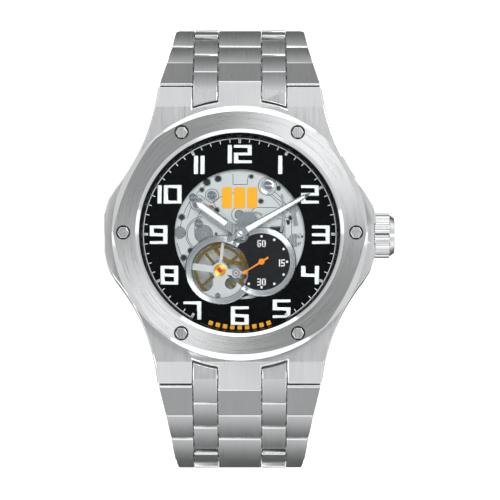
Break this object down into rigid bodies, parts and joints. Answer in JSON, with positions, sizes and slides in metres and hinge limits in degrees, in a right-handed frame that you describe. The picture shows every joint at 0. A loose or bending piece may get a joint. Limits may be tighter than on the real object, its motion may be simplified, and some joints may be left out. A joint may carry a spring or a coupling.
{
  "type": "skeleton wristwatch",
  "caption": "Automatic skeleton wristwatch: steel case with a screwed bezel, open dial with small seconds and visible balance, on a closed link bracelet with a folding clasp.",
  "frame": {"origin": "centre of the case back's outer flat face", "axes": "+Z from the case back up through the crystal, +Y to 12 o'clock along the bracelet, +X to the crown at 3 o'clock"},
  "size_m": [0.0473, 0.075, 0.0459],
  "materials": {
    "brushed_steel": "brushed, with polished edges",
    "polished_steel": "polished",
    "movement_silver": "rhodium plated, grained",
    "gilt_brass": "gilt",
    "black_dial": "gloss black lacquer",
    "white_lume": "white luminous filling",
    "orange_lacquer": "orange lacquer",
    "crystal_glass": "clear, polished",
    "black_rubber": "moulded",
    "ruby": "polished synthetic ruby",
    "blued_steel": "heat blued",
    "screw_steel": "polished"
  },
  "bodies": {
    "case": {"case_middle": "brushed_steel", "case_back": "brushed_steel", "case_back_glass": "crystal_glass", "case_gaskets": "black_rubber", "bezel": "brushed_steel", "bezel_screws": "screw_steel", "crystal": "crystal_glass", "rehaut": "black_dial", "dial": "black_dial", "hour_numerals": "white_lume", "subdial_frame": "polished_steel", "seconds_dial": "black_dial", "main_plate": "movement_silver", "keyless_works": "movement_silver", "movement_ring": "movement_silver", "pallet_bridge": "movement_silver", "hairspring": "blued_steel", "balance_bridge": "movement_silver", "train_bridge": "movement_silver", "jewels": "ruby", "movement_screws": "screw_steel", "rotor_bearing": "polished_steel", "crown_tube": "polished_steel", "lug_pins": "polished_steel"},
    "minute_arbor": {"minute_hand": "white_lume", "cannon_pinion": "polished_steel", "centre_wheel": "gilt_brass"},
    "hour_pipe": {"hour_hand": "white_lume", "hour_wheel": "gilt_brass"},
    "minute_wheel": {"minute_wheel": "gilt_brass"},
    "barrel": {"barrel": "gilt_brass"},
    "third_wheel": {"third_wheel": "gilt_brass"},
    "seconds_arbor": {"fourth_wheel": "gilt_brass", "seconds_hand": "orange_lacquer"},
    "escape_wheel": {"escape_wheel": "gilt_brass"},
    "pallet_fork": {"pallet_fork": "polished_steel"},
    "balance": {"balance_wheel": "gilt_brass"},
    "rotor": {"rotor": "movement_silver"},
    "crown_carrier": {"crown_gasket": "black_rubber"},
    "crown": {"crown": "polished_steel", "winding_stem": "polished_steel"},
    "link_12_1": {"link_12_1": "brushed_steel"},
    "link_12_2": {"link_12_2": "brushed_steel"},
    "link_12_3": {"link_12_3": "brushed_steel"},
    "link_12_4": {"link_12_4": "brushed_steel"},
    "link_12_5": {"link_12_5": "brushed_steel"},
    "link_12_6": {"link_12_6": "brushed_steel"},
    "link_12_7": {"link_12_7": "brushed_steel"},
    "link_6_1": {"link_6_1": "brushed_steel"},
    "link_6_2": {"link_6_2": "brushed_steel"},
    "link_6_3": {"link_6_3": "brushed_steel"},
    "link_6_4": {"link_6_4": "brushed_steel"},
    "link_6_5": {"link_6_5": "brushed_steel"},
    "link_6_6": {"link_6_6": "brushed_steel"},
    "link_6_7": {"link_6_7": "brushed_steel"},
    "clasp_inner": {"clasp_inner_blade": "brushed_steel"},
    "clasp_middle": {"clasp_middle_blade": "brushed_steel"},
    "clasp_cover": {"clasp_cover": "brushed_steel"},
    "clasp_button_a": {"clasp_button_a": "polished_steel"},
    "clasp_button_b": {"clasp_button_b": "polished_steel"}
  },
  "joints": [
    {"name": "minute_turn", "type": "hinge", "parent": "case", "child": "minute_arbor", "pos_m": [0, 0, 0.0062], "axis": [0, 0, 1], "continuous": true},
    {"name": "hour_turn", "type": "hinge", "parent": "case", "child": "hour_pipe", "pos_m": [0, 0, 0.0062], "axis": [0, 0, 1], "continuous": true},
    {"name": "minute_wheel_turn", "type": "hinge", "parent": "case", "child": "minute_wheel", "pos_m": [0.00131, 0.00201, 0.0062], "axis": [0, 0, 1], "continuous": true},
    {"name": "barrel_turn", "type": "hinge", "parent": "case", "child": "barrel", "pos_m": [-0.00478, 0.00401, 0.0062], "axis": [0, 0, 1], "continuous": true},
    {"name": "third_turn", "type": "hinge", "parent": "case", "child": "third_wheel", "pos_m": [0.00529, -0.0011, 0.0062], "axis": [0, 0, 1], "continuous": true},
    {"name": "seconds_turn", "type": "hinge", "parent": "case", "child": "seconds_arbor", "pos_m": [0.00354, -0.0045, 0.0062], "axis": [0, 0, 1], "continuous": true},
    {"name": "escape_turn", "type": "hinge", "parent": "case", "child": "escape_wheel", "pos_m": [0.0008, -0.00672, 0.0062], "axis": [0, 0, 1], "continuous": true},
    {"name": "pallet_swing", "type": "hinge", "parent": "case", "child": "pallet_fork", "pos_m": [-0.00056, -0.00632, 0.0062], "axis": [0, 0, 1], "range_deg": [-5, 5]},
    {"name": "balance_swing", "type": "hinge", "parent": "case", "child": "balance", "pos_m": [-0.00322, -0.00582, 0.0062], "axis": [0, 0, 1], "range_deg": [-270, 270]},
    {"name": "rotor_turn", "type": "hinge", "parent": "case", "child": "rotor", "pos_m": [0, 0, 0.003], "axis": [0, 0, 1], "continuous": true},
    {"name": "crown_pull", "type": "slide", "parent": "case", "child": "crown_carrier", "axis": [1, 0, 0], "range_m": [0, 0.0012]},
    {"name": "crown_turn", "type": "hinge", "parent": "crown_carrier", "child": "crown", "pos_m": [0.022, 0, 0.0055], "axis": [1, 0, 0], "continuous": true},
    {"name": "bracelet_flex", "type": "hinge", "parent": "case", "child": "link_6_1", "pos_m": [0, -0.023, 0.0066], "axis": [-1, 0, 0], "range_deg": [-4, 4]},
    {"name": "flex_6_2", "type": "hinge", "parent": "link_6_1", "child": "link_6_2", "pos_m": [0, -0.02683, 0.00092], "axis": [-1, 0, 0], "range_deg": [-1.4, 1.4]},
    {"name": "flex_6_3", "type": "hinge", "parent": "link_6_2", "child": "link_6_3", "pos_m": [0, -0.03051, -0.00486], "axis": [-1, 0, 0], "range_deg": [-1.4, 1.4]},
    {"name": "flex_6_4", "type": "hinge", "parent": "link_6_3", "child": "link_6_4", "pos_m": [0, -0.03404, -0.01073], "axis": [-1, 0, 0], "range_deg": [-6.26, 6.26]},
    {"name": "flex_6_5", "type": "hinge", "parent": "link_6_4", "child": "link_6_5", "pos_m": [0, -0.03535, -0.01745], "axis": [-1, 0, 0], "range_deg": [-6.26, 6.26]},
    {"name": "flex_6_6", "type": "hinge", "parent": "link_6_5", "child": "link_6_6", "pos_m": [0, -0.03357, -0.02407], "axis": [-1, 0, 0], "range_deg": [-1.4, 1.4]},
    {"name": "flex_6_7", "type": "hinge", "parent": "link_6_6", "child": "link_6_7", "pos_m": [0, -0.02908, -0.02924], "axis": [-1, 0, 0], "range_deg": [-3.67, 3.67]},
    {"name": "flex_clasp", "type": "hinge", "parent": "link_6_7", "child": "clasp_inner", "pos_m": [0, -0.02287, -0.03213], "axis": [-1, 0, 0], "range_deg": [-3.67, 3.67]},
    {"name": "flex_12_1", "type": "hinge", "parent": "case", "child": "link_12_1", "pos_m": [0, 0.023, 0.0066], "axis": [1, 0, 0], "range_deg": [-5, 5]},
    {"name": "flex_12_2", "type": "hinge", "parent": "link_12_1", "child": "link_12_2", "pos_m": [0, 0.02683, 0.00092], "axis": [1, 0, 0], "range_deg": [-1.4, 1.4]},
    {"name": "flex_12_3", "type": "hinge", "parent": "link_12_2", "child": "link_12_3", "pos_m": [0, 0.03051, -0.00486], "axis": [1, 0, 0], "range_deg": [-1.4, 1.4]},
    {"name": "flex_12_4", "type": "hinge", "parent": "link_12_3", "child": "link_12_4", "pos_m": [0, 0.03404, -0.01073], "axis": [1, 0, 0], "range_deg": [-6.26, 6.26]},
    {"name": "flex_12_5", "type": "hinge", "parent": "link_12_4", "child": "link_12_5", "pos_m": [0, 0.03535, -0.01745], "axis": [1, 0, 0], "range_deg": [-6.26, 6.26]},
    {"name": "flex_12_6", "type": "hinge", "parent": "link_12_5", "child": "link_12_6", "pos_m": [0, 0.03357, -0.02407], "axis": [1, 0, 0], "range_deg": [-1.4, 1.4]},
    {"name": "flex_12_7", "type": "hinge", "parent": "link_12_6", "child": "link_12_7", "pos_m": [0, 0.02908, -0.02924], "axis": [1, 0, 0], "range_deg": [-3.67, 3.67]},
    {"name": "blade_open", "type": "hinge", "parent": "clasp_inner", "child": "clasp_middle", "pos_m": [0, 0.01667, -0.03143], "axis": [1, 0, 0], "range_deg": [0, 45]},
    {"name": "cover_open", "type": "hinge", "parent": "clasp_middle", "child": "clasp_cover", "pos_m": [0, -0.01747, -0.03278], "axis": [-1, 0, 0], "range_deg": [0, 90.5]},
    {"name": "button_a_press", "type": "slide", "parent": "clasp_cover", "child": "clasp_button_a", "axis": [-1, 0, 0], "range_m": [0, 0.0008], "stiffness_N_per_m": 400, "springref_m": -0.0008},
    {"name": "button_b_press", "type": "slide", "parent": "clasp_cover", "child": "clasp_button_b", "axis": [1, 0, 0], "range_m": [0, 0.0008], "stiffness_N_per_m": 400, "springref_m": -0.0008}
  ],
  "couplings": [
    {"joint": "hour_turn", "follows": "minute_turn", "ratio": 0.083333},
    {"joint": "minute_wheel_turn", "follows": "minute_turn", "ratio": -0.33333},
    {"joint": "barrel_turn", "follows": "minute_turn", "ratio": -0.14286},
    {"joint": "third_turn", "follows": "minute_turn", "ratio": -8},
    {"joint": "seconds_turn", "follows": "minute_turn", "ratio": 60},
    {"joint": "escape_turn", "follows": "minute_turn", "ratio": -600},
    {"joint": "flex_6_2", "follows": "bracelet_flex", "ratio": 0.1},
    {"joint": "flex_6_3", "follows": "bracelet_flex", "ratio": 0.1},
    {"joint": "flex_6_4", "follows": "bracelet_flex", "ratio": -1.3163},
    {"joint": "flex_6_5", "follows": "bracelet_flex", "ratio": -1.3163},
    {"joint": "flex_6_6", "follows": "bracelet_flex", "ratio": 0.1},
    {"joint": "flex_6_7", "follows": "bracelet_flex", "ratio": 0.66632},
    {"joint": "flex_clasp", "follows": "bracelet_flex", "ratio": 0.66632},
    {"joint": "flex_12_1", "follows": "bracelet_flex", "ratio": 1},
    {"joint": "flex_12_2", "follows": "bracelet_flex", "ratio": 0.1},
    {"joint": "flex_12_3", "follows": "bracelet_flex", "ratio": 0.1},
    {"joint": "flex_12_4", "follows": "bracelet_flex", "ratio": -1.3163},
    {"joint": "flex_12_5", "follows": "bracelet_flex", "ratio": -1.3163},
    {"joint": "flex_12_6", "follows": "bracelet_flex", "ratio": 0.1},
    {"joint": "flex_12_7", "follows": "bracelet_flex", "ratio": 0.66632},
    {"joint": "cover_open", "follows": "blade_open", "ratio": 2}
  ]
}
